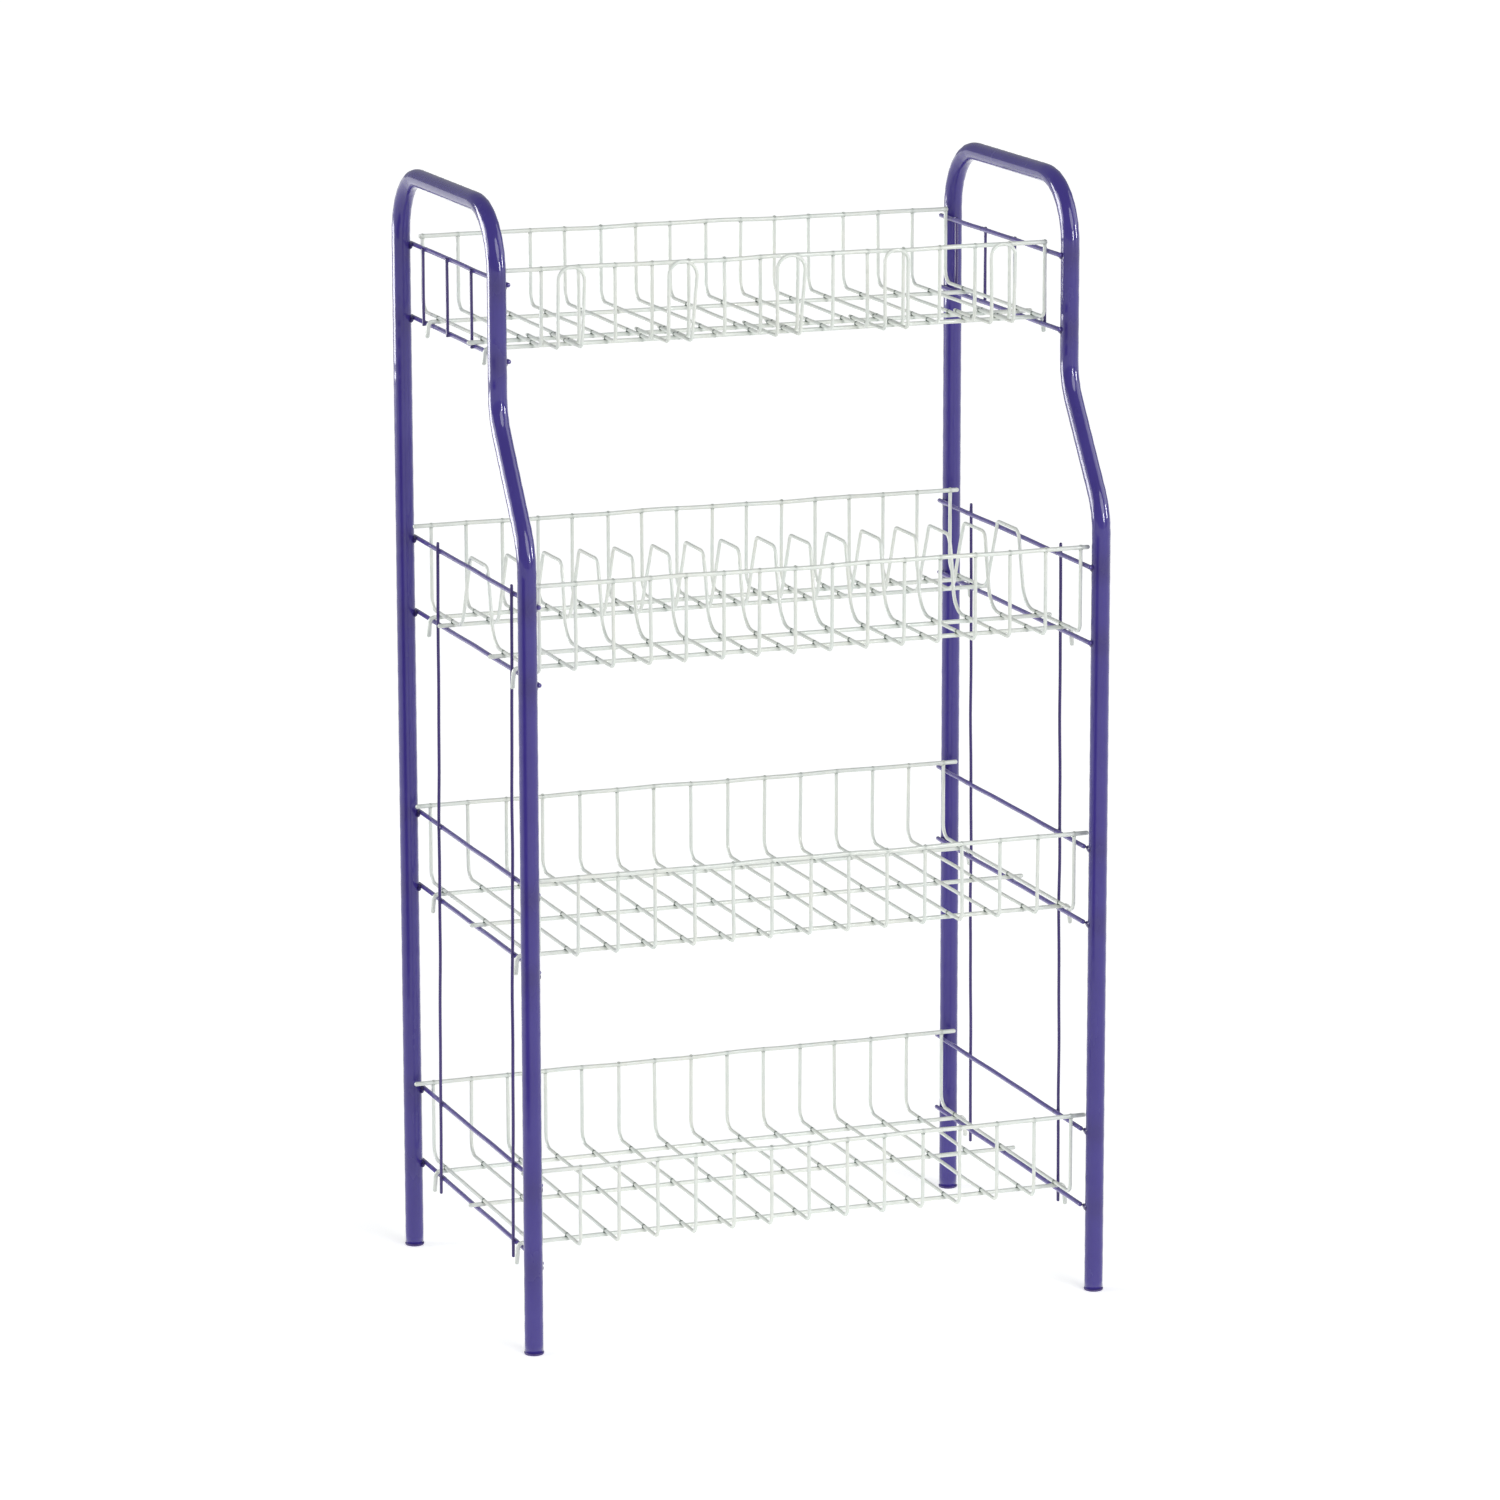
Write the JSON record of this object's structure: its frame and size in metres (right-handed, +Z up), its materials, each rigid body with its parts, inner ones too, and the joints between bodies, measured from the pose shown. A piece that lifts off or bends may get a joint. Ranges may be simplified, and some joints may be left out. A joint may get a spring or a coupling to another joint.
{
  "type": "tiered wire basket rack",
  "caption": "Free-standing kitchen rack: two bent tube side frames carry four lift-off wire baskets, with cup loops on the top one and humped ribs that part plates on the second.",
  "frame": {"origin": "on the floor, midway between the four legs", "axes": "+X to the right, +Y to the back, +Z up"},
  "size_m": [0.4134, 0.2778, 0.7559],
  "materials": {
    "purple_enamel": "glossy purple powder enamel on steel tube and wire",
    "white_coating": "smooth off-white plastic dip coating on steel wire",
    "foot_plastic": "moulded plastic end plug"
  },
  "bodies": {
    "frame": {"left_back_foot_plug": "foot_plastic", "left_back_tie_wire": "purple_enamel", "left_bottom_basket_lower_wire": "purple_enamel", "left_bottom_basket_upper_wire": "purple_enamel", "left_cup_rack_lower_wire": "purple_enamel", "left_cup_rack_upper_wire": "purple_enamel", "left_end_panel_bars": "purple_enamel", "left_front_foot_plug": "foot_plastic", "left_front_tie_wire": "purple_enamel", "left_middle_basket_lower_wire": "purple_enamel", "left_middle_basket_upper_wire": "purple_enamel", "left_plate_rack_lower_wire": "purple_enamel", "left_plate_rack_upper_wire": "purple_enamel", "left_side_tube": "purple_enamel", "left_weld_beads": "purple_enamel", "right_back_foot_plug": "foot_plastic", "right_back_tie_wire": "purple_enamel", "right_bottom_basket_lower_wire": "purple_enamel", "right_bottom_basket_upper_wire": "purple_enamel", "right_cup_rack_lower_wire": "purple_enamel", "right_cup_rack_upper_wire": "purple_enamel", "right_end_panel_bars": "purple_enamel", "right_front_foot_plug": "foot_plastic", "right_front_tie_wire": "purple_enamel", "right_middle_basket_lower_wire": "purple_enamel", "right_middle_basket_upper_wire": "purple_enamel", "right_plate_rack_lower_wire": "purple_enamel", "right_plate_rack_upper_wire": "purple_enamel", "right_side_tube": "purple_enamel", "right_weld_beads": "purple_enamel"},
    "cup_rack": {"cup_loops": "white_coating", "cup_rack_back_hook_wire": "white_coating", "cup_rack_back_rim": "white_coating", "cup_rack_floor_wire_1": "white_coating", "cup_rack_front_hook_wire": "white_coating", "cup_rack_front_rim": "white_coating", "cup_rack_ribs": "white_coating"},
    "plate_rack": {"plate_rack_back_hook_wire": "white_coating", "plate_rack_back_rim": "white_coating", "plate_rack_floor_wire_1": "white_coating", "plate_rack_floor_wire_2": "white_coating", "plate_rack_front_hook_wire": "white_coating", "plate_rack_front_rim": "white_coating", "plate_rack_ribs": "white_coating"},
    "middle_basket": {"middle_basket_back_hook_wire": "white_coating", "middle_basket_back_rim": "white_coating", "middle_basket_floor_wire_1": "white_coating", "middle_basket_front_hook_wire": "white_coating", "middle_basket_front_rim": "white_coating", "middle_basket_ribs": "white_coating"},
    "bottom_basket": {"bottom_basket_back_hook_wire": "white_coating", "bottom_basket_back_rim": "white_coating", "bottom_basket_floor_wire_1": "white_coating", "bottom_basket_front_hook_wire": "white_coating", "bottom_basket_front_rim": "white_coating", "bottom_basket_ribs": "white_coating"}
  },
  "joints": [
    {"name": "cup_rack_lift", "type": "slide", "parent": "frame", "child": "cup_rack", "axis": [0, 0, 1], "range_m": [0, 0.03]},
    {"name": "plate_rack_lift", "type": "slide", "parent": "frame", "child": "plate_rack", "axis": [0, 0, 1], "range_m": [0, 0.014]},
    {"name": "middle_basket_lift", "type": "slide", "parent": "frame", "child": "middle_basket", "axis": [0, 0, 1], "range_m": [0, 0.03]},
    {"name": "bottom_basket_lift", "type": "slide", "parent": "frame", "child": "bottom_basket", "axis": [0, 0, 1], "range_m": [0, 0.03]}
  ]
}
